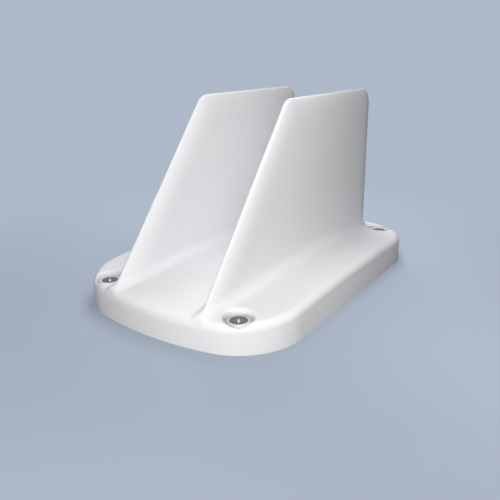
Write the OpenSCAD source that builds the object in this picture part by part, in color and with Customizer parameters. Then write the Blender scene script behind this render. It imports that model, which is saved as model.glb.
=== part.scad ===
// Stanchion base: one white moulding with two raked cheeks, held down by four countersunk
// screws in cup washers. Each screw hole has a compression sleeve and a seal.
// +Z is up, -Y is the front (raked) end, and the origin is the middle of the underside.

/* [Plate] */
// Width of the plate across the two cheeks
plate_w = 175; // [160:1:200]
// Length of the plate from the front end to the back end
plate_l = 271; // [245:1:305]
// Thickness of the plate at its middle
plate_t = 26; // [24:0.5:32]
// How far the crowned top falls from the middle to each end
crown_l = 6; // [3:0.2:7]
// How far the crowned top falls from the middle to each side
crown_w = 1; // [0:0.1:1.6]
// How far the curved ends bulge past a straight end
end_rise = 17.5; // [14:0.5:22]
// Plan radius of the four corners
corner_r = 50; // [44:0.5:54]
// Radius that rounds the top edge all the way round
edge_r = 5.2; // [3:0.2:7]

/* [Cheeks] */
// Clear width between the cheeks
channel_w = 70.5; // [60:0.5:76]
// Height of the cheeks above the middle of the plate's top
cheek_h = 121.2; // [90:0.2:150]
// Thickness of a cheek at its foot
cheek_root_t = 8.5; // [7:0.5:11]
// Thickness of a cheek at its top
cheek_tip_t = 5.8; // [4:0.2:7]
// Rake of the front edge from the vertical, in degrees
front_rake = 38.7; // [25:0.1:42]
// Outward lean of the back edge from the vertical, in degrees
back_lean = 0.3; // [0:0.1:5]
// From the front end of the plate to the front edge of a cheek, at the height of the plate's middle
front_setback = 13.6; // [12.6:0.2:24]
// From the back end of the plate to the back edge of a cheek, at the height of the plate's middle
back_setback = 19; // [16:0.2:30]
// Radius of the cheek's two top corners, seen from the side
top_corner_r = 14; // [8:0.2:18]
// Fillet along the foot of each cheek
root_fillet = 11; // [5:0.5:12]
// Smaller fillet where the front edge meets the plate
front_fillet = 2.5; // [1:0.5:3]

/* [Underside] */
// Wall round the cored underside
skirt_t = 6; // [5:0.5:8]
// Skin left between the cores and the top of the plate
roof_t = 5; // [4:0.5:7]
// Thickness of the ribs between the cores
rib_t = 3; // [2:0.5:4]
// Spacing of the cross ribs
rib_pitch = 26.5; // [22:0.5:28]
// Radius of the solid boss round each screw
boss_r = 13; // [12:0.5:15]

/* [Screws] */
// From the side of the plate to a screw's axis
screw_inset_x = 28.4; // [27:0.2:32]
// From the end of the plate to a screw's axis
screw_inset_y = 22.6; // [22.2:0.2:30]
// Nominal diameter of the screws
screw_d = 6; // [5:0.5:6]
// Diameter of the countersunk head
head_d = 12; // [11:0.2:13]
// Overall length of the screws
screw_l = 25; // [22:1:60]
// Length of the thread, measured up from the screw's point
thread_l = 6.2; // [5:0.1:20]
// Pitch of the thread, whose rolling leaves the plain shank thinner than the thread
thread_pitch = 1; // [0.7:0.05:1.25]
// Length of the cross recess across the head
recess_l = 6.8; // [5:0.2:8]
// Width of the arms of the cross recess
recess_w = 1.3; // [1:0.1:1.6]
// Depth of the cross recess
recess_depth = 2.2; // [1.5:0.1:2.6]

/* [Cup washers] */
// Outside diameter of the cup washers
washer_d = 18; // [17:0.2:19]
// Height of the cup washers
washer_h = 3.2; // [3.2:0.1:4]
// Height of the washer's upright rim below its dome
washer_rim = 1; // [0.6:0.1:1.6]

/* [Screw pockets] */
// Height of the pocket floors above the deck
seat_z = 15.6; // [14.6:0.1:16.6]
// Gap between the washer and the wall of its pocket
pocket_gap = 1.3; // [0.8:0.1:1.6]
// Rounding of the pocket's upper rim
pocket_lip = 2.5; // [1:0.1:3]

/* [Sleeves and seals] */
// Wall of the compression sleeves
sleeve_wall = 1.7; // [1:0.1:2]
// Radial play of the screw in its sleeve
screw_play = 0.3; // [0.2:0.05:0.5]
// Radial play of the sleeve in the moulding
sleeve_play = 0.05; // [0.02:0.01:0.1]
// Radial width of the seals
seal_w = 2; // [1.5:0.1:2.5]
// Height of the seals when they are clamped
seal_h = 1.6; // [1.2:0.1:2.4]

/* [Hidden] */
$fn = 64;

// How far one solid runs into another, or a cutter past a face
bite = 1;
// Running clearance between seated curved faces
seat_gap = 0.03;

half_w = plate_w / 2;
half_l = plate_l / 2;
// The curved ends are arcs of this radius, tangent to the corner arcs
end_r = (half_w * half_w + end_rise * end_rise) / (2 * end_rise);
end_c = end_r - half_l;
corner_x = half_w - corner_r;
corner_y = end_c - sqrt(pow(end_r - corner_r, 2) - corner_x * corner_x);
corner_a = atan2(corner_y - end_c, corner_x);
end_steps = 5;
corner_steps = 9;

cheek_x = channel_w / 2;
foot_front = front_setback - half_l;
foot_back = half_l - back_setback;
// How far the thinning of a cheek's edges reaches into its sides
cheek_nose = 0.85 * top_corner_r;
// How deep the cheeks are rooted, so that they reach under the lowest part of the crowned top
cheek_sink = crown_l + crown_w + bite;
edge_steps = 8;
arc_steps = 7;
side_steps = 8;

screw_x = half_w - screw_inset_x;
screw_y = half_l - screw_inset_y;
thread_r = screw_d / 2;
// A rolled thread is raised from a blank of about its pitch diameter
shank_r = thread_r - 0.325 * thread_pitch;
head_r = head_d / 2;
head_z = seat_z + washer_h;
sleeve_ri = thread_r + screw_play;
sleeve_ro = sleeve_ri + sleeve_wall;
pocket_r = washer_d / 2 + pocket_gap;
rib_pitch_x = (channel_w + cheek_root_t) / 3;

function mirror_x(points) = [for (p = points) [-p.x, p.y]];
function mirror_y(points) = [for (p = points) [p.x, -p.y]];
function reverse(v) = [for (i = [len(v) - 1 : -1 : 0]) v[i]];
function tail(v) = [for (i = [1 : len(v) - 1]) v[i]];
function lift(points, z) = [for (p = points) [p.x, p.y, z]];

// Height of the crowned top at a place in the plan
function top_z(x, y) = plate_t - crown_l * pow(y / half_l, 2) - crown_w * pow(x / half_w, 2);
// Plan points laid on the crowned top, then raised by z
function drape(points, z) = [for (p = points) [p.x, p.y, top_z(p.x, p.y) + z]];

// A quarter of the plate's outline, moved inwards by d: end arc, then corner arc
function quarter(d) = concat(
    [for (i = [0 : end_steps - 1]) let (a = -90 + (corner_a + 90) * i / end_steps)
        [(end_r - d) * cos(a), end_c + (end_r - d) * sin(a)]],
    [for (i = [0 : corner_steps]) let (a = corner_a * (1 - i / corner_steps))
        [corner_x + (corner_r - d) * cos(a), corner_y + (corner_r - d) * sin(a)]]);

// The whole outline, counter-clockwise from the middle of the front end
function outline(d) = let (q = quarter(d), right = concat(q, mirror_y(reverse(q))))
    concat(right, mirror_x(tail(reverse(tail(right)))));

// The middle of a ring's points
function middle(ring) = [for (k = [0 : 2]) [for (p = ring) 1] * [for (p = ring) p[k]] / len(ring)];

// A closed skin through rings of equal length, each counter-clockwise about the way they climb.
// Each end is closed by a fan round its ring's middle.
module skin(rings) {
    n = len(rings[0]);
    m = len(rings);
    last = (m - 1) * n;
    walls = [for (k = [0 : m - 2], i = [0 : n - 1])
        let (j = (i + 1) % n, a = k * n + i, b = k * n + j) each [[a, a + n, b], [b, a + n, b + n]]];
    bottom = [for (i = [0 : n - 1]) [m * n, i, (i + 1) % n]];
    top = [for (i = [0 : n - 1]) [m * n + 1, last + (i + 1) % n, last + i]];
    polyhedron(points = concat([for (r = rings) each r], [middle(rings[0]), middle(rings[m - 1])]),
               faces = concat(bottom, walls, top), convexity = 6);
}

// The plate: an upright skirt, rings that follow the rounded top edge, then the crowned top,
// which is flat only in its very middle
module plate() {
    round_rings = [for (i = [0 : edge_steps - 1]) let (a = 90 * i / edge_steps)
        drape(outline(edge_r * (1 - cos(a))), edge_r * (sin(a) - 1))];
    crown_rings = [for (s = [1 : -0.2 : 0.1]) drape(s * outline(edge_r), 0)];
    skin(concat([lift(outline(0), 0)], round_rings, crown_rings,
                [lift(0.05 * outline(edge_r), plate_t)]));
}

// Side view of a cheek as [y, z], moved inwards by d all round except at its root
function cheek_profile(d) = let (
        zc = cheek_h - top_corner_r,
        yf = foot_front + (top_corner_r + zc * sin(front_rake)) / cos(front_rake),
        yb = foot_back + (zc * sin(back_lean) - top_corner_r) / cos(back_lean),
        r = top_corner_r - d)
    concat(
        [[foot_front + (d - cheek_sink * sin(front_rake)) / cos(front_rake), -cheek_sink],
         [foot_back - (d + cheek_sink * sin(back_lean)) / cos(back_lean), -cheek_sink]],
        [for (i = [0 : arc_steps]) let (a = -back_lean + (90 + back_lean) * i / arc_steps)
            [yb + r * cos(a), zc + r * sin(a)]],
        [for (i = [0 : arc_steps]) let (a = 90 + (90 - front_rake) * i / arc_steps)
            [yf + r * cos(a), zc + r * sin(a)]]);

// Thickness of a cheek at height z above the plate
function cheek_t(z) = cheek_root_t - (cheek_root_t - cheek_tip_t) * z / cheek_h;

// The right-hand cheek: side profiles stacked across its thickness, so that every edge thins to
// half an ellipse
module cheek() {
    rings = [for (i = [0 : edge_steps]) let (
            a = -90 + 180 * i / edge_steps,
            across = (1 + sin(a)) / 2,
            inset = cheek_nose * (1 - cos(a)))
        [for (p = cheek_profile(inset)) [cheek_x + across * cheek_t(p[1]), p[0], plate_t + p[1]]]];
    skin(rings);
}

// Section of a cheek's foot at height z above the crowned top, grown by e at the sides and back
// and by ef at the front
function foot_ring(z, e, ef) = let (
        w = cheek_t(z) / 2,
        xc = cheek_x + w,
        af = cheek_nose / cos(front_rake),
        yf = foot_front + (z + top_z(xc, foot_front) - plate_t) * tan(front_rake) + af,
        yb = foot_back + (z + top_z(xc, foot_back) - plate_t) * tan(back_lean) - cheek_nose,
        side = [for (i = [1 : side_steps - 1]) yf + (yb - yf) * i / side_steps])
    drape(concat(
        [for (i = [0 : edge_steps]) let (a = 180 + 180 * i / edge_steps)
            [xc + (w + e) * cos(a), yf + (af + ef) * sin(a)]],
        [for (y = side) [xc + w + e, y]],
        [for (i = [0 : edge_steps]) let (a = 180 * i / edge_steps)
            [xc + (w + e) * cos(a), yb + (cheek_nose + e) * sin(a)]],
        [for (y = reverse(side)) [xc - w - e, y]]), z);

// The fillet round a cheek's foot, flaring from the cheek's wall to the top of the plate. It is
// closed by a flat ring in the plate and another inside the cheek.
module root_flare() {
    first = 15;
    turn = [for (a = [first : 15 : 90]) a];
    rings = [for (a = turn) let (s = 1 - sin(a))
        foot_ring(root_fillet * (1 - cos(a)), root_fillet * s - seat_gap, front_fillet * s - seat_gap)];
    sunk = lift(rings[0], plate_t - cheek_sink);
    xc = cheek_x + cheek_root_t / 2;
    hidden = [for (p = rings[len(rings) - 1]) [xc + 0.3 * (p.x - xc), 0.97 * p.y, plate_t + bite]];
    skin(concat([sunk], rings, [hidden]));
}

module both_sides() {
    children();
    mirror([1, 0, 0]) children();
}

// Places a child at one corner: sx is -1 for left and 1 for right, sy is -1 for front
module at_corner(sx, sy) {
    translate([sx * screw_x, sy * screw_y, 0]) children();
}

module at_corners() {
    for (sx = [-1, 1], sy = [-1, 1]) at_corner(sx, sy) children();
}

// Plan of the hollows under the plate: a grid of cells between the ribs, clear of the bosses
module core_plan() {
    across = ceil(half_w / rib_pitch_x);
    difference() {
        polygon(outline(skirt_t));
        for (i = [-across : across])
            translate([(i + 0.5) * rib_pitch_x - rib_t / 2, -half_l]) square([rib_t, plate_l]);
        for (s = [-1, 1])
            translate([s * (cheek_x + cheek_root_t / 2) - cheek_root_t / 2, -half_l])
                square([cheek_root_t, plate_l]);
        for (sx = [-1, 1], sy = [-1, 1]) translate([sx * screw_x, sy * screw_y]) circle(boss_r);
    }
}

// The hollows, row by row between the cross ribs. Each row's flat roof follows the crown, so the
// skin above it is never thinner than roof_t.
module cores() {
    rows = ceil((half_l - skirt_t - rib_t) / rib_pitch);
    for (j = [0 : rows - 1], s = [0, 1]) mirror([0, s, 0]) {
        far = min((j + 1) * rib_pitch - rib_t / 2, half_l - skirt_t);
        near = j * rib_pitch + rib_t / 2;
        translate([0, 0, -bite]) linear_extrude(top_z(half_w, far) - roof_t + bite)
            intersection() {
                core_plan();
                translate([-half_w, near]) square([plate_w, far - near]);
            }
    }
}

// Everything cut away at one screw: pocket with a rounded lip, sleeve bore and seal recess
module screw_cut() {
    rim_z = top_z(screw_x, screw_y);
    lip = [for (i = [0 : 6]) let (a = 15 * i)
        [pocket_r + pocket_lip * (1 - cos(a)), rim_z - pocket_lip * (1 - sin(a))]];
    rotate_extrude()
        polygon(concat([[0, seat_z], [pocket_r, seat_z]], lip,
                       [[pocket_r + pocket_lip, plate_t + bite], [0, plate_t + bite]]));
    translate([0, 0, -bite]) cylinder(h = seat_z + 2 * bite, r = sleeve_ro + sleeve_play);
    translate([0, 0, -bite]) cylinder(h = seal_h + bite, r = sleeve_ro + seal_w + 2 * sleeve_play);
}

module base_moulding() {
    color([0.94, 0.95, 0.96]) difference() {
        union() {
            plate();
            both_sides() cheek();
            both_sides() root_flare();
        }
        cores();
        at_corners() screw_cut();
    }
}

// A countersunk screw with a cross recess, head up, its head's top level with the washer's
module screw() {
    cone_h = head_r - shank_r;
    tip_z = head_z - screw_l;
    point = 0.6;
    difference() {
        rotate_extrude() polygon([
            [0, tip_z], [thread_r - point, tip_z], [thread_r, tip_z + point],
            [thread_r, tip_z + thread_l], [shank_r, tip_z + thread_l],
            [shank_r, head_z - cone_h - seat_gap], [head_r - seat_gap, head_z], [0, head_z]]);
        for (a = [0, 90]) rotate(a)
            translate([-recess_l / 2, -recess_w / 2, head_z - recess_depth])
                cube([recess_l, recess_w, recess_depth + bite]);
    }
}

module deck_screws() {
    color([0.62, 0.64, 0.66]) at_corners() screw();
}

// A turned cup washer: flat foot, short rim, domed shoulder and a conical seat for the head
module washer() {
    ro = washer_d / 2;
    dome = washer_h - washer_rim;
    crown = ro - head_r - 2 * seat_gap;
    shoulder = [for (i = [0 : 6]) let (a = 15 * i)
        [ro - crown * 0.8 * (1 - cos(a)), seat_z + washer_rim + dome * sin(a)]];
    bore_z = head_z - (head_r + seat_gap - sleeve_ri);
    rotate_extrude() polygon(concat([[sleeve_ri, seat_z], [ro, seat_z]], shoulder,
        [[head_r + seat_gap, head_z], [sleeve_ri, bore_z]]));
}

module cup_washers() {
    color([0.75, 0.77, 0.79]) at_corners() washer();
}

// A compression sleeve: it carries the clamping load from the washer to the deck
module sleeve(sx, sy) {
    color([0.7, 0.7, 0.72]) at_corner(sx, sy) difference() {
        cylinder(h = seat_z, r = sleeve_ro);
        translate([0, 0, -bite]) cylinder(h = seat_z + 2 * bite, r = sleeve_ri);
    }
}

// A seal in its recess round the foot of a sleeve
module seal(sx, sy) {
    color([0.12, 0.12, 0.13]) at_corner(sx, sy) difference() {
        cylinder(h = seal_h, r = sleeve_ro + sleeve_play + seal_w);
        translate([0, 0, -bite]) cylinder(h = seal_h + 2 * bite, r = sleeve_ro + sleeve_play);
    }
}

base_moulding();
deck_screws();
cup_washers();
sleeve(-1, -1);  // sleeve_front_left
sleeve(1, -1);  // sleeve_front_right
sleeve(-1, 1);  // sleeve_back_left
sleeve(1, 1);  // sleeve_back_right
seal(-1, -1);  // seal_front_left
seal(1, -1);  // seal_front_right
seal(-1, 1);  // seal_back_left
seal(1, 1);  // seal_back_right
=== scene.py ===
"""Looks of the stanchion base: white moulding, screws, cup washers, sleeves and seals, in a studio.

Sizes are in millimetres inside the classes and become metres when a mesh is made. Places come from
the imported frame's boxes, so each piece lies where its solid is.
"""

from __future__ import annotations

import logging
import math
from dataclasses import dataclass
from enum import Enum
from typing import Sequence

import bpy
import numpy as np
from mathutils import Matrix, Vector


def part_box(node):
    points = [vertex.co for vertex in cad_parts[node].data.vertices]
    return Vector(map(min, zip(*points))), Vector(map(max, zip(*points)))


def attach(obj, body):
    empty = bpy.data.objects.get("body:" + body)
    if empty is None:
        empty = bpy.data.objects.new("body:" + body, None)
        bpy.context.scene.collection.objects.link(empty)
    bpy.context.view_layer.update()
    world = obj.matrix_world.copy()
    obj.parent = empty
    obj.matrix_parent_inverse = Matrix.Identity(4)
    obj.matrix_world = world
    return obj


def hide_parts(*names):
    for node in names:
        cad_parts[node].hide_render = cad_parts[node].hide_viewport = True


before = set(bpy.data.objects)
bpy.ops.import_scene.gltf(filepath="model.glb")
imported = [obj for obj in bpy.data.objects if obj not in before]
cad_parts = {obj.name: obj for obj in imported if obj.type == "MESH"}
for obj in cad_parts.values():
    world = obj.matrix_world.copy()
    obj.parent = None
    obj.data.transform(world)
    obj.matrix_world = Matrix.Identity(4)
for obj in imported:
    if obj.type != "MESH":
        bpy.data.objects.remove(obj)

MM = 0.001
LOG = logging.getLogger("stanchion_base")

Array = np.ndarray
Shape = tuple[Array, list[list[int]]]
Colour = tuple[float, float, float]


# ---- named options


class Side(Enum):
    """Side of the base, as the sign of X."""

    LEFT = -1
    RIGHT = 1


class End(Enum):
    """End of the base, as the sign of Y."""

    FRONT = -1
    BACK = 1


class Joining(Enum):
    """How one solid works on another."""

    ADD = "UNION"
    CUT = "DIFFERENCE"


@dataclass(frozen=True)
class Station:
    """One screw's place on the base.

    Attributes:
        side: the side it is on.
        end: the end it is at.
        x: its axis in X, in millimetres.
        y: its axis in Y, in millimetres.
        turn: how far round the cross recess came to rest, in degrees.
    """

    side: Side
    end: End
    x: float
    y: float
    turn: float

    @property
    def label(self) -> str:
        """The station's part of a node name."""
        return f"{self.end.name.lower()}_{self.side.name.lower()}"


def find_stations() -> list[Station]:
    """Reads the four screw axes from the boxes of the sleeves.

    Returns:
        The stations, front left first.
    """
    turns = {(-1, -1): 50.0, (1, -1): 36.0, (-1, 1): 61.0, (1, 1): 8.0}
    stations = []
    for end in End:
        for side in Side:
            low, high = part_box(f"sleeve_{end.name.lower()}_{side.name.lower()}")
            middle = (low + high) / (2 * MM)
            stations.append(Station(side, end, middle.x, middle.y, turns[side.value, end.value]))
    return stations


# ---- meshes


def make_piece(name: str, points: Array, faces: Sequence[Sequence[int]] | Array) -> bpy.types.Object:
    """Makes a mesh object at the origin from points in millimetres.

    Args:
        name: the object's name.
        points: an (n, 3) array in millimetres.
        faces: an (m, 4) or (m, 3) array of corner numbers, or lists of mixed length.

    Returns:
        The linked object.
    """
    mesh = bpy.data.meshes.new(name)
    corners = faces.tolist() if isinstance(faces, np.ndarray) else faces
    mesh.from_pydata((points * MM).tolist(), [], corners)
    mesh.validate()
    piece = bpy.data.objects.new(name, mesh)
    bpy.context.scene.collection.objects.link(piece)
    return piece


def work_on(piece: bpy.types.Object, tool: bpy.types.Object, joining: Joining) -> None:
    """Adds a tool solid to a piece or cuts it away, and removes the tool.

    Args:
        piece: the object whose mesh changes.
        tool: the closed solid that works on it.
        joining: whether the tool is added or cut away.
    """
    step = piece.modifiers.new("work", "BOOLEAN")
    step.operation = joining.value
    step.solver = "MANIFOLD"
    step.object = tool
    bpy.context.view_layer.update()
    shape = piece.evaluated_get(bpy.context.evaluated_depsgraph_get())
    worked = bpy.data.meshes.new_from_object(shape)
    piece.modifiers.clear()
    old, piece.data = piece.data, worked
    bpy.data.meshes.remove(old)
    worked.name = piece.name
    spent = tool.data
    bpy.data.objects.remove(tool)
    bpy.data.meshes.remove(spent)


def join_shapes(shapes: Sequence[Shape]) -> Shape:
    """Puts several closed shapes in one list of points and faces.

    Args:
        shapes: pairs of points and faces.

    Returns:
        All points, and all faces with their corner numbers moved on.
    """
    starts = np.cumsum([0] + [len(points) for points, _ in shapes])
    points = np.concatenate([points for points, _ in shapes])
    faces = [[corner + int(start) for corner in face]
             for start, (_, own) in zip(starts, shapes) for face in own]
    return points, faces


def grid_faces(rows: int, columns: int, closed: bool) -> Array:
    """Quads between the rows of a grid whose columns run round a closed ring.

    Args:
        rows: the number of rings.
        columns: the number of points in a ring.
        closed: whether the last ring joins the first.

    Returns:
        An (n, 4) array of corner numbers; a corner is row times columns plus column.
    """
    row = np.arange(rows if closed else rows - 1)[:, None]
    column = np.arange(columns)[None, :]
    onward, around = (row + 1) % rows, (column + 1) % columns
    corners = (row * columns + column, row * columns + around,
               onward * columns + around, onward * columns + column)
    return np.stack([np.broadcast_to(c, (row.size, columns)) for c in corners], -1).reshape(-1, 4)


def turned_surface(radius: Array, height: Array, ring: bool) -> Shape:
    """A turned solid as a function of two parameters, the place along its profile and the angle.

    A point is (r cos a, r sin a, z), with r and z taken from the profile at each angle. A solid that
    meets its axis starts and ends on one point there; a ring is a closed loop with a hole.

    Args:
        radius: an (n, m) array, one row for each profile point and one column for each angle.
        height: an (n, m) array of heights, or (n, 1) where they don't change with the angle.
        ring: True for a closed loop, False for a profile that runs from axis to axis.

    Returns:
        Points and faces, facing outwards where the profile climbs on its outer side.
    """
    rows, columns = radius.shape
    angle = np.linspace(0, 2 * math.pi, columns, endpoint=False)[None, :]
    z = np.broadcast_to(height, radius.shape)
    points = np.stack([radius * np.cos(angle), radius * np.sin(angle), z], -1)
    if ring:
        return points.reshape(-1, 3), grid_faces(rows, columns, True).tolist()
    body = points[1:-1].reshape(-1, 3)
    faces = grid_faces(rows - 2, columns, False).tolist()
    bottom, top = len(body), len(body) + 1
    last = (rows - 3) * columns
    around = [(i + 1) % columns for i in range(columns)]
    faces += [[bottom, around[i], i] for i in range(columns)]
    faces += [[top, last + i, last + around[i]] for i in range(columns)]
    return np.concatenate([body, points[[0, -1], 0]]), faces


def turned_loop(loop: Array, columns: int, ring: bool) -> Shape:
    """Turns a profile of (radius, height) that is the same at every angle."""
    return turned_surface(np.repeat(loop[:, :1], columns, 1), loop[:, 1:], ring)


def stacked(plans: Sequence[Array], heights: Sequence[float]) -> Shape:
    """Plans of equally many points at rising heights, walls between, and a face at each end.

    Args:
        plans: (n, 2) arrays, counter-clockwise.
        heights: the height of each plan.

    Returns:
        Points and faces.
    """
    count = len(plans[0])
    rings = [np.column_stack([plan, np.full(count, z)]) for plan, z in zip(plans, heights)]
    walls = grid_faces(len(rings), count, False).tolist()
    last = (len(rings) - 1) * count
    return np.concatenate(rings), walls + [list(range(count))[::-1], list(range(last, last + count))]


def prism(outline: Array, low: float, high: float) -> Shape:
    """An upright prism of one outline from a low to a high place."""
    return stacked([outline, outline], [low, high])


def block(low: Sequence[float], high: Sequence[float]) -> Shape:
    """A rectangular prism between two corners."""
    plan = np.array([[low[0], low[1]], [high[0], low[1]], [high[0], high[1]], [low[0], high[1]]])
    return prism(plan, low[2], high[2])


def arc(x: float, y: float, radius: float, first: float, last: float, steps: int) -> Array:
    """Points on an arc: centre plus radius times (cos a, sin a), from first to last degree."""
    a = np.radians(np.linspace(first, last, steps + 1))
    return np.column_stack([x + radius * np.cos(a), y + radius * np.sin(a)])


def surface_net(axes: tuple[Array, Array, Array], values: Array) -> tuple[Array, Array]:
    """Quads of the surface on which a field over a grid is zero.

    Each cell that the surface crosses gets one point, the mean of the zero points on its edges, where
    the share of an edge before its zero is the first value over the difference of the two. Each
    crossed edge gives the quad of the four cells round it, turned to face from inside to outside.

    Args:
        axes: the grid's coordinates in X, Y and Z.
        values: the field at each grid point, below zero inside.

    Returns:
        An (n, 3) array of points and an (m, 4) array of faces.
    """
    cells = tuple(n - 1 for n in values.shape)
    total = np.zeros((math.prod(cells), 3))
    count = np.zeros(math.prod(cells))
    quads = []
    for axis in range(3):
        here, there = [slice(None)] * 3, [slice(None)] * 3
        here[axis], there[axis] = slice(0, -1), slice(1, None)
        first, second = values[tuple(here)], values[tuple(there)]
        crossed = (first < 0) != (second < 0)
        spot = np.argwhere(crossed)
        share = first[crossed] / (first[crossed] - second[crossed])
        zero = np.stack([axes[k][spot[:, k]] for k in range(3)], 1)
        zero[:, axis] += share * (axes[axis][spot[:, axis] + 1] - axes[axis][spot[:, axis]])
        corners = []
        for du, dv in ((-1, -1), (0, -1), (0, 0), (-1, 0)):
            cell = spot.copy()
            cell[:, (axis + 1) % 3] += du
            cell[:, (axis + 2) % 3] += dv
            number = np.ravel_multi_index(cell.T, cells)
            corners.append(number)
            count += np.bincount(number, minlength=len(count))
            for k in range(3):
                total[:, k] += np.bincount(number, weights=zero[:, k], minlength=len(count))
        quad = np.stack(corners, 1)
        leaving = first[crossed] < 0
        quads += [quad[leaving], quad[~leaving][:, ::-1]]
    used = count > 0
    number = np.cumsum(used) - 1
    return total[used] / count[used, None], number[np.concatenate(quads)]


# ---- the moulding's form


def rounded_union(a: Array, b: Array, radius: Array | float) -> Array:
    """Joins two fields with a fillet: the greater of the radius and the lesser field, less the length
    of (radius - a, radius - b) where those are above zero."""
    return (np.maximum(radius, np.minimum(a, b))
            - np.hypot(np.maximum(radius - a, 0), np.maximum(radius - b, 0)))


def rounded_overlap(a: Array, b: Array, radius: float) -> Array:
    """Keeps what is inside both fields, with its edge rounded: the mirror of rounded_union."""
    return -rounded_union(-a, -b, radius)


def ease(t: Array) -> Array:
    """Runs smoothly from 0 to 1: three t squared less two t cubed, held outside that range."""
    t = np.clip(t, 0, 1)
    return t * t * (3 - 2 * t)


@dataclass
class MouldingForm:
    """The outer form of the moulding as a distance field in millimetres, below zero inside.

    In its methods x and y are places in X and Y, and z is a height above the underside.

    Attributes:
        half_w: half the plate's width.
        half_l: half the plate's length.
        top: height of the cheeks' tops.
        axes: the screw axes, as (x, y).
    """

    half_w: float
    half_l: float
    top: float
    axes: list[tuple[float, float]]
    plate_t: float = 26.0
    crown_l: float = 6.0
    crown_w: float = 1.0
    end_rise: float = 17.5
    corner_r: float = 50.0
    edge_r: float = 5.2
    channel_w: float = 70.5
    root_t: float = 8.5
    tip_t: float = 5.8
    front_rake: float = 38.7
    back_lean: float = 0.3
    front_setback: float = 13.6
    back_setback: float = 19.0
    top_corner_r: float = 14.0
    nose: float = 16.0
    side_fillet: float = 8.0
    end_fillet: float = 6.0
    front_runout: float = 22.0
    back_runout: float = 14.0
    pocket_r: float = 10.3
    pocket_lip: float = 1.1
    pocket_low: float = 9.0
    blunt: float = 0.9
    sink: float = 5.0
    low: float = -3.0

    def outline(self, x: Array, y: Array) -> Array:
        """Distance from the plate's outline, seen from above.

        The point is folded into one quadrant. The side is a line, the end an arc whose radius is
        (w squared + rise squared) / (2 rise), and in the wedge between their normals the corner's
        own arc counts.
        """
        x, y = np.abs(x), np.abs(y)
        end_r = (self.half_w**2 + self.end_rise**2) / (2 * self.end_rise)
        end_y = self.half_l - end_r
        cx = self.half_w - self.corner_r
        reach = end_r - self.corner_r
        cy = end_y + math.sqrt(reach**2 - cx**2)
        along = (y - cy) * reach / (cy - end_y)
        across = (x - cx) - along * cx / reach
        straight = np.maximum(x - self.half_w, np.hypot(x, y - end_y) - end_r)
        corner = np.hypot(x - cx, y - cy) - self.corner_r
        return np.where((along > 0) & (across > 0), corner, straight)

    @property
    def feet(self) -> tuple[float, float]:
        """Where the cheeks' front and back edges stand in Y, at the height of plate_t."""
        return self.front_setback - self.half_l, self.half_l - self.back_setback

    def top_at(self, x: Array, y: Array) -> Array:
        """Height of the plate's crowned top, which falls with the square of x and of y."""
        return self.plate_t - self.crown_l * (y / self.half_l)**2 - self.crown_w * (x / self.half_w)**2

    def plate(self, x: Array, y: Array, z: Array) -> Array:
        """The plate: its outline and its top meet in a quarter round of edge_r, which is the length
        of (outline + r, height + r) where both are above zero, less r."""
        out = self.outline(x, y) + self.edge_r
        up = z - self.top_at(x, y) + self.edge_r
        return (np.minimum(np.maximum(out, up), 0)
                + np.hypot(np.maximum(out, 0), np.maximum(up, 0)) - self.edge_r)

    def side_view(self, y: Array, z: Array) -> Array:
        """Distance from a cheek's side view, whose two top corners are arcs.

        Below the crowned top the view is its own mirror image, so no edge runs on under the plate.

        Returns:
            The greatest distance past the front, back and top lines, or the distance from a corner's
            arc where the point lies in the wedge between the two normals there.
        """
        rake, lean = math.radians(self.front_rake), math.radians(self.back_lean)
        front = (-math.cos(rake), math.sin(rake))
        back = (math.cos(lean), -math.sin(lean))
        foot_front, foot_back = self.feet
        up = np.abs(z - self.plate_t + self.sink) - self.sink
        result = np.maximum(z - self.top, np.maximum(
            (y - foot_front) * front[0] + up * front[1], (y - foot_back) * back[0] + up * back[1]))
        height = self.top - self.plate_t - self.top_corner_r
        for (ny, nz), foot in ((front, foot_front), (back, foot_back)):
            centre = foot - (self.top_corner_r + height * nz) / ny
            vy, vz = y - centre, up - height
            side = vy / ny
            upward = vz - side * nz
            arc_here = np.hypot(vy, vz) - self.top_corner_r
            result = np.where((side > 0) & (upward > 0), arc_here, result)
        return result

    def cheek(self, x: Array, y: Array, z: Array) -> Array:
        """A cheek on each side, thinning towards its top, with full-round edges.

        Its middle sheet is the side view moved in by half the thickness, and the distance is that
        from the sheet less half the thickness.
        """
        share = (z - self.plate_t) / (self.top - self.plate_t)
        half = (self.root_t - (self.root_t - self.tip_t) * np.clip(share, -0.2, 1)) / 2
        along = np.maximum(self.side_view(y, z) + self.nose, 0) + 1e-6
        across = np.abs(x) - self.channel_w / 2 - half
        reach = np.hypot(along / self.nose, across / half)
        return reach * (reach - 1) / np.hypot(along / self.nose**2, across / half**2)

    def pockets(self, x: Array, y: Array, z: Array) -> Array:
        """The four screw pockets: upright round holes, from a low floor upwards, whose rims roll
        over into the plate's top in a quarter round.

        With u inwards from the rim's outer edge and v up from the round's centre, the distance is
        the lip's radius less the length of (u, v), and past the rim nothing is cut.
        """
        from_axis = np.min([np.hypot(x - ax, y - ay) for ax, ay in self.axes], axis=0)
        u = self.pocket_r + self.pocket_lip - from_axis
        v = np.maximum(z - self.top_at(x, y) + self.pocket_lip, 0)
        wall = np.where(u > 0, self.pocket_lip - np.hypot(u, v), np.maximum(self.pocket_lip - v, -u))
        return np.maximum(wall, self.pocket_low - z)

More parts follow.
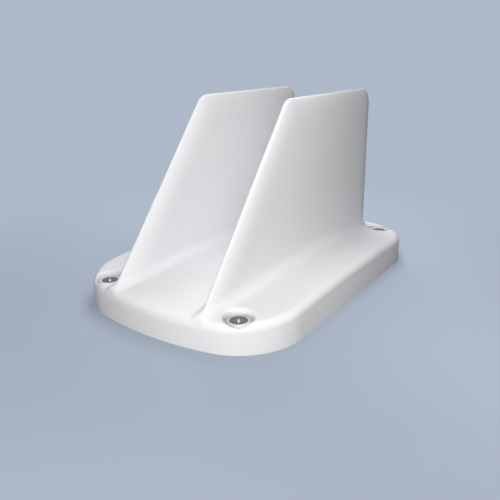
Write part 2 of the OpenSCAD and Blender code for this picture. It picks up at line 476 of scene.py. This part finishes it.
    def distance(self, x: Array, y: Array, z: Array) -> Array:
        """The whole form: plate and cheeks joined by fillets, less the pockets.

        The fillet is small at the ends of a cheek and grows along it to its full radius.
        """
        foot_front, foot_back = self.feet
        fullness = ease((y - foot_front) / self.front_runout) * ease((foot_back - y) / self.back_runout)
        fillet = self.end_fillet + (self.side_fillet - self.end_fillet) * fullness
        solid = rounded_union(self.plate(x, y, z), self.cheek(x, y, z), fillet)
        solid = np.maximum(solid, self.low - z)
        return rounded_overlap(solid, -self.pockets(x, y, z), self.blunt)

    def slope(self, points: Array) -> tuple[Array, Array]:
        """The field and its gradient, by differences of a twentieth of a millimetre each way."""
        step = 0.05
        columns = []
        for k in range(3):
            move = np.zeros(3)
            move[k] = step
            ahead, behind = points + move, points - move
            columns.append((self.distance(*ahead.T) - self.distance(*behind.T)) / (2 * step))
        return self.distance(*points.T), np.stack(columns, 1)

    def settle(self, points: Array, rounds: int) -> Array:
        """Moves points onto the surface: back along the gradient by field over gradient squared."""
        for _ in range(rounds):
            value, gradient = self.slope(points)
            length = np.maximum((gradient**2).sum(1), 0.25)
            points = points - np.clip(value / length, -1.0, 1.0)[:, None] * gradient
        return points

    def openness(self, points: Array, reach: float) -> Array:
        """How open the surface is: the field a reach outside a point, over that reach."""
        _, gradient = self.slope(points)
        normal = gradient / np.maximum(np.linalg.norm(gradient, axis=1), 1e-6)[:, None]
        return np.clip(self.distance(*(points + reach * normal).T) / reach, 0, 1)

    def grid(self) -> tuple[Array, Array, Array]:
        """Grid lines, closer where the form curves: across the cheeks, fillets, pockets and edges."""

        def lines(*runs: tuple[float, float, float]) -> Array:
            """Joins runs of (from, to, spacing) into one rising list."""
            parts = [np.linspace(a, b, max(1, round((b - a) / gap)), endpoint=False)
                     for a, b, gap in runs]
            return np.concatenate(parts + [np.array([runs[-1][1]])])

        inner = self.channel_w / 2
        half_x = lines((0.9, inner - 11, 2.0), (inner - 11, inner - 2, 1.2),
                       (inner - 2, inner + 10, 0.72), (inner + 10, 73, 0.78),
                       (73, self.half_w + 3, 1.2))
        half_y = lines((0.9, 99, 1.9), (99, 127, 0.78), (127, self.half_l + 3, 1.2))
        z = lines((self.low - 2, 0, 1.7), (0, 11, 2.2), (11, 23, 0.75), (23, 26, 1.0), (26, 39, 1.25),
                  (39, self.top - 16, 1.9), (self.top - 16, self.top + 3, 1.3))
        return (np.concatenate([-half_x[::-1], half_x]), np.concatenate([-half_y[::-1], half_y]), z)

    def mesh(self) -> tuple[Array, Array]:
        """The surface as evenly spread quads: a net over the grid, then rounds in which each point
        goes halfway to the mean of its neighbours and back onto the surface.

        Returns:
            An (n, 3) array of points and an (m, 4) array of faces.
        """
        axes = self.grid()
        x, y, z = np.meshgrid(*axes, indexing="ij", sparse=True)
        points, faces = surface_net(axes, self.distance(x, y, z))
        points = self.settle(points, 2)
        ends = np.concatenate([faces[:, [k, (k + 1) % 4]] for k in range(4)])
        degree = np.bincount(ends[:, 0], minlength=len(points))[:, None]
        for _ in range(4):
            sums = [np.bincount(ends[:, 0], weights=points[ends[:, 1], k], minlength=len(points))
                    for k in range(3)]
            points = self.settle((points + np.stack(sums, 1) / degree) / 2, 1)
        return self.settle(points, 2), faces


# ---- finishes


class Shader:
    """Builds one material's nodes in few words."""

    def __init__(self, name: str) -> None:
        """Starts a material with a Principled shader and an output."""
        self.material = bpy.data.materials.new(name)
        self.material.use_nodes = True
        self.tree = self.material.node_tree
        self.surface = self.tree.nodes["Principled BSDF"]
        self.place = self.add("ShaderNodeTexCoord").outputs["Object"]

    def add(self, kind: str, **settings: object) -> bpy.types.Node:
        """Adds a node and sets its plain properties."""
        node = self.tree.nodes.new(kind)
        for key, value in settings.items():
            setattr(node, key, value)
        return node

    def link(self, source: object, target: object) -> None:
        """Links a source to a socket, or sets the socket where the source is a plain value."""
        if isinstance(source, bpy.types.NodeSocket):
            self.tree.links.new(source, target)
        else:
            target.default_value = source

    def stretched(self, scale: Sequence[float], turn: Sequence[float] = (0, 0, 0)) -> object:
        """Object coordinates, scaled by axis and turned."""
        node = self.add("ShaderNodeMapping")
        self.link(self.place, node.inputs["Vector"])
        node.inputs["Scale"].default_value = scale
        node.inputs["Rotation"].default_value = turn
        return node.outputs["Vector"]

    def noise(self, scale: float, detail: float = 2.0, rough: float = 0.5,
              place: object = None) -> object:
        """A noise pattern; scale is in repeats to the metre."""
        node = self.add("ShaderNodeTexNoise")
        self.link(place or self.place, node.inputs["Vector"])
        node.inputs["Scale"].default_value = scale
        node.inputs["Detail"].default_value = detail
        node.inputs["Roughness"].default_value = rough
        return node.outputs["Fac"]

    def fit(self, value: object, low: float, high: float, to_low: float, to_high: float) -> object:
        """Maps a range of values onto another and holds it there."""
        node = self.add("ShaderNodeMapRange", clamp=True)
        self.link(value, node.inputs["Value"])
        names = ("From Min", "From Max", "To Min", "To Max")
        for key, number in zip(names, (low, high, to_low, to_high)):
            node.inputs[key].default_value = number
        return node.outputs["Result"]

    def math(self, operation: str, a: object, b: object = 0.0) -> object:
        """One sum on two values."""
        node = self.add("ShaderNodeMath", operation=operation)
        self.link(a, node.inputs[0])
        self.link(b, node.inputs[1])
        return node.outputs[0]

    def mix(self, share: object, first: object, second: object) -> object:
        """Mixes two colours by a share."""
        node = self.add("ShaderNodeMix", data_type="RGBA")
        self.link(share, node.inputs["Factor"])
        for socket, value in (("A", first), ("B", second)):
            target = next(s for s in node.inputs if s.name == socket and s.type == "RGBA")
            self.link((*value, 1.0) if isinstance(value, tuple) else value, target)
        return next(s for s in node.outputs if s.type == "RGBA")

    def attribute(self, name: str) -> object:
        """A number stored on the mesh."""
        return self.add("ShaderNodeAttribute", attribute_name=name).outputs["Fac"]

    def bump(self, height: object, distance: float, under: object = None) -> object:
        """Raises the surface by a height times a distance in metres."""
        node = self.add("ShaderNodeBump")
        node.inputs["Strength"].default_value = 1.0
        node.inputs["Distance"].default_value = distance
        self.link(height, node.inputs["Height"])
        if under is not None:
            self.link(under, node.inputs["Normal"])
        return node.outputs["Normal"]


@dataclass(frozen=True)
class GlossWhite:
    """The moulding's finish: glossy white plastic with a faint orange peel, slow waves in its flats,
    fine scuffs, and a darker grey in its hollows that is partly dust and partly painted shade."""

    white: Colour = (0.80, 0.80, 0.815)
    dust_and_shade_grey: Colour = (0.70, 0.70, 0.705)
    rough: float = 0.45

    def make(self) -> bpy.types.Material:
        """Builds the material."""
        s = Shader("gloss_white_plastic")
        # Less open points go darker grey, partly as dust and partly as painted shade in the hollows;
        # noise breaks it up, and the same share makes them rougher.
        dust_and_shade_hollows = s.fit(s.attribute("open"), 0.25, 0.95, 1.0, 0.0)
        dust_and_shade = s.math("MULTIPLY", dust_and_shade_hollows, s.fit(s.noise(90, 4, 0.6), 0.35, 0.7, 0.1, 0.75))
        cloud = s.fit(s.noise(14, 3, 0.55), 0.3, 0.7, 0.0, 0.04)
        colour = s.mix(s.math("ADD", dust_and_shade, cloud), self.white, self.dust_and_shade_grey)
        s.link(colour, s.surface.inputs["Base Color"])
        scuff = s.noise(60, 3, 0.6, s.stretched((1, 0.09, 1), (0.2, 0.3, 0.5)))
        fine = s.noise(700, 2, 0.5, s.stretched((1, 0.03, 1), (0.1, -0.2, 1.1)))
        marks = s.math("MULTIPLY", s.fit(scuff, 0.55, 0.75, 0, 1), s.fit(fine, 0.55, 0.7, 0, 1))
        cloudy = s.fit(s.noise(22, 4, 0.6), 0.3, 0.7, self.rough - 0.04, self.rough + 0.05)
        rough = s.math("ADD", cloudy, s.math("MULTIPLY", marks, 0.16))
        s.link(s.math("ADD", rough, s.math("MULTIPLY", dust_and_shade_hollows, 0.10)), s.surface.inputs["Roughness"])
        waves = s.bump(s.noise(16, 1, 0.4), 0.0003)
        peel = s.bump(s.noise(330, 1, 0.4), 0.000012, waves)
        s.link(s.bump(marks, 0.000006, peel), s.surface.inputs["Normal"])
        s.surface.inputs["IOR"].default_value = 1.49
        s.surface.inputs["Specular IOR Level"].default_value = 0.15
        return s.material


@dataclass(frozen=True)
class Steel:
    """Stainless steel with fine turning marks, faint blotches, and where asked a painted glint in a
    pressed recess.

    Attributes:
        name: the material's name.
        grey: its colour.
        rough: its roughness.
        marks: depth of the turning marks in metres.
        pitch: turning marks to the metre along the radius and the axis.
        painted_glint: the pale colour painted in a pressed recess as a painted glint, where the recess
            mark is one.
    """

    name: str
    grey: Colour
    rough: float
    marks: float
    pitch: float = 5200.0
    painted_glint: Colour | None = None

    def make(self) -> bpy.types.Material:
        """Builds the material: the rings read the along attribute, which grows with the radius and
        the height, and the blotches read Object coordinates."""
        s = Shader(self.name)
        along = s.attribute("along")
        line = s.add("ShaderNodeCombineXYZ")
        s.link(along, line.inputs["X"])
        rings = s.noise(self.pitch, 2, 0.6, line.outputs["Vector"])
        blotch = s.noise(420, 3, 0.6)
        darker = tuple(0.72 * c for c in self.grey)
        colour = s.mix(s.fit(blotch, 0.3, 0.75, 0, 0.7), self.grey, darker)
        rough = s.math("ADD", s.fit(blotch, 0.3, 0.7, self.rough - 0.05, self.rough + 0.06),
                       s.fit(rings, 0.4, 0.7, 0, 0.06))
        # Painted glint: the pressed recess is painted pale, and made rougher, so that it reads as lit.
        if self.painted_glint is not None:
            painted_glint_mask = s.attribute("painted_glint")
            colour = s.mix(painted_glint_mask, colour, self.painted_glint)
            rough = s.math("ADD", rough, s.math("MULTIPLY", painted_glint_mask, 0.2))
        s.link(colour, s.surface.inputs["Base Color"])
        s.surface.inputs["Metallic"].default_value = 1.0
        s.link(rough, s.surface.inputs["Roughness"])
        s.link(s.bump(rings, self.marks), s.surface.inputs["Normal"])
        return s.material


@dataclass(frozen=True)
class SealRubber:
    """Black rubber with a matt, finely pitted skin."""

    black: Colour = (0.012, 0.012, 0.013)

    def make(self) -> bpy.types.Material:
        """Builds the material."""
        s = Shader("seal_rubber")
        bloom = s.fit(s.noise(260, 4, 0.6), 0.4, 0.75, 0, 0.4)
        s.link(s.mix(bloom, self.black, (0.05, 0.05, 0.048)), s.surface.inputs["Base Color"])
        s.link(s.fit(s.noise(900, 3), 0.3, 0.7, 0.55, 0.75), s.surface.inputs["Roughness"])
        s.link(s.bump(s.noise(2600, 2), 0.00003), s.surface.inputs["Normal"])
        return s.material


def dress(piece: bpy.types.Object, finish: GlossWhite | Steel | SealRubber, node: str,
          smooth: float = 35.0) -> None:
    """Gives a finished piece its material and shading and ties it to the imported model.

    Args:
        piece: the finished object.
        finish: its finish.
        node: the node it stands for.
        smooth: edges sharper than this many degrees stay sharp.
    """
    piece.data.materials.clear()
    piece.data.materials.append(finish.make())
    piece.data.shade_smooth()
    piece.data.set_sharp_from_angle(angle=math.radians(smooth))
    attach(piece, "root")
    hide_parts(node)
    LOG.info("%s: %d faces, stands for %s", piece.name, len(piece.data.polygons), node)


def points_of(piece: bpy.types.Object) -> Array:
    """The mesh's points as an (n, 3) array in millimetres."""
    flat = np.empty(len(piece.data.vertices) * 3, np.float32)
    piece.data.vertices.foreach_get("co", flat)
    return flat.reshape(-1, 3).astype(float) / MM


def store(piece: bpy.types.Object, name: str, values: Array) -> None:
    """Stores a named number at each point of a piece, for its finish to read."""
    layer = piece.data.attributes.new(name, "FLOAT", "POINT")
    layer.data.foreach_set("value", values.astype(np.float32))


def from_axes(points: Array, stations: Sequence[Station]) -> Array:
    """How far each point is from the nearest screw axis."""
    return np.min([np.hypot(points[:, 0] - s.x, points[:, 1] - s.y) for s in stations], axis=0)


def mark_along(piece: bpy.types.Object, stations: Sequence[Station]) -> None:
    """Stores, at each point, its distance from the nearest screw axis plus its height, in metres."""
    points = points_of(piece)
    store(piece, "along", (from_axes(points, stations) + points[:, 2]) * MM)


def moved(shape: Shape, x: float, y: float, turn: float = 0.0) -> Shape:
    """Turns a shape about Z by an angle in degrees and moves it in the plan."""
    points, faces = shape
    c, s = math.cos(math.radians(turn)), math.sin(math.radians(turn))
    spin = np.array([[c, s, 0], [-s, c, 0], [0, 0, 1]])
    return points @ spin + np.array([x, y, 0]), faces


def at_stations(shape: Shape, stations: Sequence[Station], turned: bool = False) -> Shape:
    """A copy of a shape on each screw axis, turned as the recess there is if that is asked."""
    return join_shapes([moved(shape, s.x, s.y, s.turn if turned else 0.0) for s in stations])


# ---- sub-assemblies


@dataclass
class BaseMoulding:
    """The one-piece white moulding: plate, cheeks, pockets, and the ribbed underside."""

    form: MouldingForm
    stations: list[Station]
    seat_z: float
    skirt_t: float = 6.0
    roof_t: float = 5.0
    rib_t: float = 3.0
    rib_pitch: float = 26.5
    boss_r: float = 13.0
    bore_r: float = 5.05
    recess_r: float = 7.1
    recess_h: float = 1.6
    foot_round: float = 1.2
    dust_and_shade_reach: float = 7.0
    plan_rays: int = 240
    halvings: int = 40
    segments: int = 96

    def posts(self, radius: float, low: float, high: float) -> Shape:
        """A round post on each screw axis."""
        ring = arc(0, 0, radius, 0, 360, self.segments)[:-1]
        return at_stations(prism(ring, low, high), self.stations)

    def floors(self) -> Shape:
        """The pockets' floors: turned discs whose rims sweep up to the pocket's wall in a hollow
        quarter round, which is (r - c + c cos a, seat + c + c sin a) from 0 to -90 degrees."""
        r, c, low = self.form.pocket_r, self.foot_round, self.form.pocket_low - 3
        sweep = arc(r - c, self.seat_z + c, c, 0, -90, 8)
        loop = np.concatenate([[[0, low], [r + 0.9, low], [r + 0.9, self.seat_z + c]], sweep,
                               [[self.bore_r + 1, self.seat_z], [0, self.seat_z]]])
        return at_stations(turned_loop(loop, self.segments, False), self.stations)

    def core(self) -> bpy.types.Object:
        """The cores that hollow the underside: the plate's inset plan, less ribs and bosses. Each
        row's flat roof follows the crown of the plate's top."""
        f = self.form
        angle = np.linspace(0, 2 * math.pi, self.plan_rays, endpoint=False)
        ray = np.column_stack([np.cos(angle), np.sin(angle)])
        low, high = np.zeros(len(ray)), np.full(len(ray), f.half_l)
        for _ in range(self.halvings):
            middle = (low + high) / 2
            inside = f.outline(*(ray * middle[:, None]).T) < -self.skirt_t
            low, high = np.where(inside, middle, low), np.where(inside, high, middle)
        top = f.plate_t - self.roof_t
        core = make_piece("core", *prism(ray * low[:, None], -8.0, top))
        wide, long, deep, over = 120.0, 150.0, -12.0, top + 4
        rows = int(f.half_l / self.rib_pitch)
        steps = []
        for row in range(rows):
            start, end = row * self.rib_pitch, (row + 1) * self.rib_pitch
            far = min(end - self.rib_t / 2, f.half_l - self.skirt_t)
            roof = float(f.top_at(np.array(f.half_w), np.array(far))) - self.roof_t
            steps += [block((-wide, start + 0.5, roof), (wide, end - 0.5, over)),
                      block((-wide, 0.5 - end, roof), (wide, -0.5 - start, over))]
        pitch_x = (f.channel_w + f.root_t) / 3
        under = f.channel_w / 2 + f.root_t / 2
        ribs = [(x * pitch_x, self.rib_t) for x in (-2.5, -0.5, 0.5, 2.5)]
        ribs += [(-under, f.root_t), (under, f.root_t)]
        along = [block((x - t / 2, -long, deep), (x + t / 2, long, over)) for x, t in ribs]
        across = [block((-wide, y - self.rib_t / 2, deep), (wide, y + self.rib_t / 2, over))
                  for y in self.rib_pitch * np.arange(-rows, rows + 1)]
        for shapes in (steps, along, across, [self.posts(self.boss_r, deep, over)]):
            work_on(core, make_piece("cutter", *join_shapes(shapes)), Joining.CUT)
        return core

    def build(self) -> None:
        """Nets the outer form, floors the pockets, then cuts the underside, bores and recesses."""
        f = self.form
        piece = make_piece("white_moulding", *f.mesh())
        LOG.info("white_moulding: %d quads in the outer form", len(piece.data.polygons))
        work_on(piece, make_piece("floors", *self.floors()), Joining.ADD)
        work_on(piece, self.core(), Joining.CUT)
        below = block((-120, -160, f.low - 6), (120, 160, 0))
        bores = self.posts(self.bore_r, -4, self.seat_z + 4)
        for shape in (below, bores, self.posts(self.recess_r, -4, self.recess_h)):
            work_on(piece, make_piece("cutter", *shape), Joining.CUT)
        # How open each point is; the finish darkens the hollows by it, partly as dust and partly as
        # painted shade.
        store(piece, "open", f.openness(points_of(piece), self.dust_and_shade_reach))
        dress(piece, GlossWhite(), "base_moulding", 40.0)


@dataclass
class DeckScrews:
    """Four countersunk screws with cross recesses, plain shanks and threaded ends."""

    stations: list[Station]
    head_z: float
    tip_z: float
    head_r: float = 5.97
    shank_r: float = 2.675
    thread_r: float = 3.0
    thread_l: float = 6.2
    pitch: float = 1.0
    depth: float = 0.45
    runout: float = 0.5
    point: float = 0.7
    tip_r: float = 1.6
    thread_rows: int = 96
    recess_r: float = 3.4
    recess_w: float = 1.5
    recess_depth: float = 2.6
    # Depths below the head's top between which the recess is painted pale as a glint.
    painted_glint_from: float = 0.12
    painted_glint_to: float = 4.12
    segments: int = 72

    def shaft(self) -> Shape:
        """A screw without its recess, as a function of height and angle.

        In the thread the radius is thread_r less depth times the distance of (z / pitch - a / 2 pi)
        from the nearest whole number, doubled, which is a helix; it runs out smoothly at both ends.

        Returns:
            Points and faces, about the Z axis.
        """
        angle = np.linspace(0, 2 * math.pi, self.segments, endpoint=False)[None, :]
        end = self.tip_z + self.thread_l
        z = np.linspace(self.tip_z + 0.05, end, self.thread_rows)[:, None]
        rise, left = z - self.tip_z, ease((end - z) / self.runout)
        turns = z / self.pitch - angle / (2 * math.pi)
        tooth = 2 * np.abs(turns - np.round(turns))
        crest = self.thread_r - 0.02 - self.point * (1 - ease(rise / 0.9))
        thread = crest - self.depth * tooth * ease(rise / self.point) * left
        closing = self.shank_r + (crest - self.shank_r) * left
        thread = np.minimum(thread, np.where(z > end - self.runout, closing, crest))
        neck, head = self.head_z - (self.head_r - self.shank_r), [self.head_r, self.head_z]
        shank = [[self.shank_r, end + 0.3], [self.shank_r, neck - 0.3],
                 [self.shank_r + 0.12, neck - 0.02], [self.shank_r + 0.4, neck + 0.25]]
        rim = head - np.array([[0.3, 0.42], [0.06, 0.26], [0, 0.16], [0.04, 0.06], [0.16, 0.01],
                               [0.3, 0], [1.2, 0], [self.head_r - self.recess_r - 0.3, 0],
                               [self.head_r - 0.8, 0], [self.head_r, 0]])
        upper = np.concatenate([shank, rim])
        ones = np.ones_like(angle)
        radius = np.concatenate([0 * ones, self.tip_r * ones, thread, upper[:, :1] * ones])
        height = np.concatenate([[[self.tip_z]], [[self.tip_z]], z, upper[:, 1:]])
        return turned_surface(radius, height, False)

    def recess(self) -> Shape:
        """The cross recess about the Z axis: a cross with rounded arm ends, smaller at each ring on
        the way down."""
        w, r = self.recess_w / 2, self.recess_r
        side = np.array([[w * 1.5, -w * 0.98], [r - 0.45, -w * 0.9], [r - 0.12, -w * 0.55]])
        quarter = np.concatenate([side, [[r, 0]], side[::-1] * (1, -1), [[w * 1.12, w * 1.12]]])
        plan = []
        for k in range(4):
            c, s = math.cos(k * math.pi / 2), math.sin(k * math.pi / 2)
            plan.append(quarter @ np.array([[c, s], [-s, c]]))
        plan = np.concatenate(plan)
        heights = [self.head_z - self.recess_depth * down for down in (1, 0.85, 0.55, 0, -0.2)]
        return stacked([plan * size for size in (0.12, 0.42, 0.66, 1, 1.04)], heights)

    def build(self) -> None:
        """Makes one screw, cuts its recess, and sets a copy at each station."""
        piece = make_piece("deck_screw_set", *at_stations(self.shaft(), self.stations, True))
        drivers = make_piece("drivers", *at_stations(self.recess(), self.stations, True))
        work_on(piece, drivers, Joining.CUT)
        mark_along(piece, self.stations)
        self.mark_painted_glint(piece)
        # The screw steel, with its pressed recesses painted pale as a painted glint.
        dress(piece, Steel("screw_steel", (0.19, 0.19, 0.183), 0.3, 0.000006, painted_glint=(0.9, 0.9, 0.88)),
              "deck_screws", 30.0)

    def mark_painted_glint(self, piece: bpy.types.Object) -> None:
        """Stores one at the points inside the pressed recesses, where a glint is painted, and nought
        elsewhere.
        """
        points = points_of(piece)
        below = self.head_z - points[:, 2]
        near = from_axes(points, self.stations) < self.recess_r + 0.1
        store(piece, "painted_glint", near & (below > self.painted_glint_from) & (below < self.painted_glint_to))


@dataclass
class CupWashers:
    """Four turned cup washers: flat foot, short rim, domed shoulder, narrow lip and conical seat."""

    stations: list[Station]
    seat_z: float
    head_z: float
    outer_r: float
    head_r: float = 6.03
    bore_r: float = 3.3
    rim: float = 1.0
    segments: int = 128

    def profile(self) -> Array:
        """The section as a closed loop of (radius, height), counter-clockwise."""
        dome = self.head_z - self.seat_z - self.rim
        crown = self.outer_r - self.head_r - 0.06
        a = np.radians(np.linspace(0, 90, 15))
        shoulder = np.column_stack([self.outer_r - crown * 0.85 * (1 - np.cos(a)),
                                    self.seat_z + self.rim + dome * np.sin(a)])
        foot = arc(self.outer_r - 0.25, self.seat_z + 0.25, 0.25, -90, 0, 4)
        seat_bottom = self.head_z - (self.head_r - self.bore_r)
        seat = [[self.head_r + 0.12, self.head_z - 0.02], [self.head_r + 0.02, self.head_z - 0.1],
                [self.bore_r + 0.15, seat_bottom + 0.15], [self.bore_r, seat_bottom - 0.05],
                [self.bore_r, self.seat_z + 0.15]]
        return np.concatenate([[[self.bore_r + 0.15, self.seat_z]], foot, shoulder, seat])

    def build(self) -> None:
        """Turns one washer and sets a copy at each station."""
        ring = turned_loop(self.profile(), self.segments, True)
        piece = make_piece("cup_washer_set", *at_stations(ring, self.stations))
        mark_along(piece, self.stations)
        dress(piece, Steel("washer_steel", (0.66, 0.66, 0.65), 0.6, 0.000004), "cup_washers",
              30.0)


@dataclass
class SleeveAndSeal:
    """The compression sleeve round one screw, and the seal round the sleeve's foot."""

    station: Station
    inner_r: float = 3.3
    outer_r: float = 5.0
    chamfer: float = 0.25
    seal_round: float = 0.3
    segments: int = 72

    def ring(self, loop: Array) -> Shape:
        """Carries a closed section round the station's axis."""
        return at_stations(turned_loop(loop, self.segments, True), [self.station])

    def build(self) -> None:
        """Makes the sleeve with chamfered mouths and the seal with rounded shoulders."""
        label = self.station.label
        low, high = (corner.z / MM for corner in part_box(f"sleeve_{label}"))
        ri, ro, c = self.inner_r, self.outer_r, self.chamfer
        loop = np.array([[ri + c, low], [ro - c, low], [ro, low + c], [ro, high - c],
                         [ro - c, high], [ri + c, high], [ri, high - c], [ri, low + c]])
        sleeve = make_piece(f"sleeve_tube_{label}", *self.ring(loop))
        mark_along(sleeve, [self.station])
        dress(sleeve, Steel("sleeve_steel", (0.52, 0.52, 0.53), 0.34, 0.000008), f"sleeve_{label}",
              30.0)
        first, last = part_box(f"seal_{label}")
        low, high, outer, r = first.z / MM, last.z / MM, (last.x - first.x) / (2 * MM), self.seal_round
        inner = self.outer_r + 0.05
        corners = ((inner + r, low + r, 180), (outer - r, low + r, 270),
                   (outer - r, high - r, 0), (inner + r, high - r, 90))
        loop = np.concatenate([arc(x, y, r, start, start + 90, 4) for x, y, start in corners])
        seal = make_piece(f"seal_ring_{label}", *self.ring(loop))
        dress(seal, SealRubber(), f"seal_{label}")


# ---- studio


def seen_rays(tree: bpy.types.NodeTree) -> bpy.types.NodeSocket:
    """Adds a test to the floor's or the world's nodes: one for a ray that shows the backdrop, from
    the camera, off metal or through glass."""
    path = tree.nodes.new("ShaderNodeLightPath")
    seen = path.outputs["Is Camera Ray"]
    for kind in ("Is Glossy Ray", "Is Transmission Ray"):
        either = tree.nodes.new("ShaderNodeMath")
        either.operation = "MAXIMUM"
        tree.links.new(seen, either.inputs[0])
        tree.links.new(path.outputs[kind], either.inputs[1])
        seen = either.outputs[0]
    return seen


@dataclass(frozen=True)
class Lamp:
    """A round soft lamp: its name, place and width in metres, and its power in watts."""

    name: str
    spot: tuple[float, float, float]
    width: float
    power: float


@dataclass
class Studio:
    """A plain pale floor, soft lamps and the camera.

    Attributes:
        background: colour of the floor and of what lies behind it.
        bounce: the floor's colour for the light that it throws back on the object.
        lit_side: the way along the floor towards the lamps.
        evening: from and to along that way in metres, and how much paler the floor is made there.
        fading: from and to from the middle in metres, and the share that glows by itself there.
        aim: the point that every lamp faces.
    """

    background: Colour = (0.42, 0.48, 0.58)
    bounce: Colour = (0.16, 0.16, 0.165)
    lit_side: tuple[float, float, float] = (0.5, -0.85, 0.0)
    evening: tuple[float, float, float, float] = (-0.25, 0.2, 1.5, 0.75)
    fading: tuple[float, float, float, float] = (0.16, 0.36, 0.45, 1.0)
    floor_r: float = 4.0
    eye: tuple[float, float, float] = (0.245990, -0.367960, 0.178650)
    azimuth: float = 34.884
    pitch: float = 19.663
    roll: float = -0.332
    lens: float = 40.133
    sensor: float = 36.0
    aim: tuple[float, float, float] = (0.0, 0.0, 0.05)
    lamps: tuple[Lamp, ...] = (
        Lamp("front", (0.152, -0.419, 0.113), 0.25, 1.09),
        Lamp("near", (0.163, -0.136, 0.262), 0.16, 0.145),
        Lamp("over", (0.079, -0.066, 0.332), 0.16, 0.31),
        Lamp("side", (0.287, -0.077, 0.092), 0.16, 0.188),
        Lamp("back", (-0.172, 0.298, 0.541), 0.35, 2.732),
    )

    def camera(self) -> None:
        """Sets up the camera: it looks along the azimuth, down by the pitch, turned by the roll."""
        data = bpy.data.cameras.new("camera")
        data.lens, data.sensor_width, data.sensor_height = self.lens, self.sensor, self.sensor
        data.clip_start, data.clip_end = 0.01, 50.0
        a, p, roll = (math.radians(v) for v in (self.azimuth, self.pitch, self.roll))
        forward = Vector((-math.sin(a) * math.cos(p), math.cos(a) * math.cos(p), -math.sin(p)))
        right = Vector((math.cos(a), math.sin(a), 0))
        up = right.cross(forward)
        turned_right = math.cos(roll) * right + math.sin(roll) * up
        turned_up = -math.sin(roll) * right + math.cos(roll) * up
        eye = bpy.data.objects.new("camera", data)
        pose = Matrix((turned_right, turned_up, -forward)).transposed().to_4x4()
        pose.translation = Vector(self.eye)
        eye.matrix_world = pose
        bpy.context.scene.collection.objects.link(eye)
        bpy.context.scene.camera = eye

    def floor(self) -> None:
        """A wide round floor that fades into the background as it goes out."""
        ring = arc(0, 0, self.floor_r / MM, 0, 360, 128)[:-1]
        floor = make_piece("studio_floor", np.column_stack([ring, np.zeros(len(ring))]),
                           [list(range(len(ring)))])
        s = Shader("studio_floor")
        s.surface.inputs["Roughness"].default_value = 1.0
        s.surface.inputs["Specular IOR Level"].default_value = 0.0
        s.link(s.bump(s.noise(500, 3), 0.00004), s.surface.inputs["Normal"])
        seen = seen_rays(s.tree)
        along = s.add("ShaderNodeVectorMath", operation="DOT_PRODUCT")
        s.link(s.place, along.inputs[0])
        along.inputs[1].default_value = self.lit_side
        even = s.fit(along.outputs["Value"], *self.evening)
        pale = s.add("ShaderNodeVectorMath", operation="SCALE")
        pale.inputs[0].default_value = self.background
        s.link(even, pale.inputs["Scale"])
        s.link(s.mix(seen, self.bounce, pale.outputs[0]), s.surface.inputs["Base Color"])
        glow = s.add("ShaderNodeEmission")
        glow.inputs["Color"].default_value = (*self.background, 1)
        length = s.add("ShaderNodeVectorMath", operation="LENGTH")
        s.link(s.place, length.inputs[0])
        far = s.fit(length.outputs["Value"], *self.fading)
        blend = s.add("ShaderNodeMixShader")
        s.link(s.math("MULTIPLY", far, seen), blend.inputs[0])
        s.link(s.surface.outputs[0], blend.inputs[1])
        s.link(glow.outputs[0], blend.inputs[2])
        s.link(blend.outputs[0], s.tree.nodes["Material Output"].inputs["Surface"])
        floor.data.materials.append(s.material)

    def sky(self) -> None:
        """A world that gives no light and shows the background's colour to the eye and in metal."""
        world = bpy.data.worlds.new("studio")
        world.use_nodes = True
        bpy.context.scene.world = world
        tree = world.node_tree
        light = tree.nodes["Background"]
        light.inputs["Strength"].default_value = 0.0
        seen = tree.nodes.new("ShaderNodeBackground")
        seen.inputs["Color"].default_value = (*self.background, 1)
        blend = tree.nodes.new("ShaderNodeMixShader")
        tree.links.new(seen_rays(tree), blend.inputs[0])
        tree.links.new(light.outputs[0], blend.inputs[1])
        tree.links.new(seen.outputs[0], blend.inputs[2])
        tree.links.new(blend.outputs[0], tree.nodes["World Output"].inputs["Surface"])

    def build(self) -> None:
        """Makes the camera, floor, sky and lamps."""
        bpy.context.scene.view_settings.view_transform = "Standard"
        self.camera()
        self.floor()
        self.sky()
        for lamp in self.lamps:
            data = bpy.data.lights.new(lamp.name, "AREA")
            data.shape, data.size, data.energy = "DISK", lamp.width, lamp.power
            stand = bpy.data.objects.new(lamp.name, data)
            stand.visible_camera = False
            stand.location = lamp.spot
            stand.rotation_mode = "QUATERNION"
            stand.rotation_quaternion = (Vector(self.aim) - stand.location).to_track_quat("-Z", "Y")
            bpy.context.scene.collection.objects.link(stand)
            LOG.info("lamp %s: %.2f W at %s", lamp.name, lamp.power, lamp.spot)


def main() -> None:
    """Builds the studio and the pieces in order, from the boxes of the imported parts."""
    logging.basicConfig(level=logging.INFO, format="%(name)s: %(message)s")
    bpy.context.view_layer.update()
    Studio().build()
    stations = find_stations()
    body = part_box("base_moulding")
    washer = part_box("cup_washers")
    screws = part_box("deck_screws")
    seat_z, head_z = washer[0].z / MM, washer[1].z / MM
    right = max(s.x for s in stations)
    form = MouldingForm(body[1].x / MM, body[1].y / MM, body[1].z / MM, [(s.x, s.y) for s in stations])
    BaseMoulding(form, stations, seat_z).build()
    DeckScrews(stations, head_z, screws[0].z / MM).build()
    CupWashers(stations, seat_z, head_z, washer[1].x / MM - right).build()
    for station in stations:
        SleeveAndSeal(station).build()


if __name__ == "__main__":
    main()
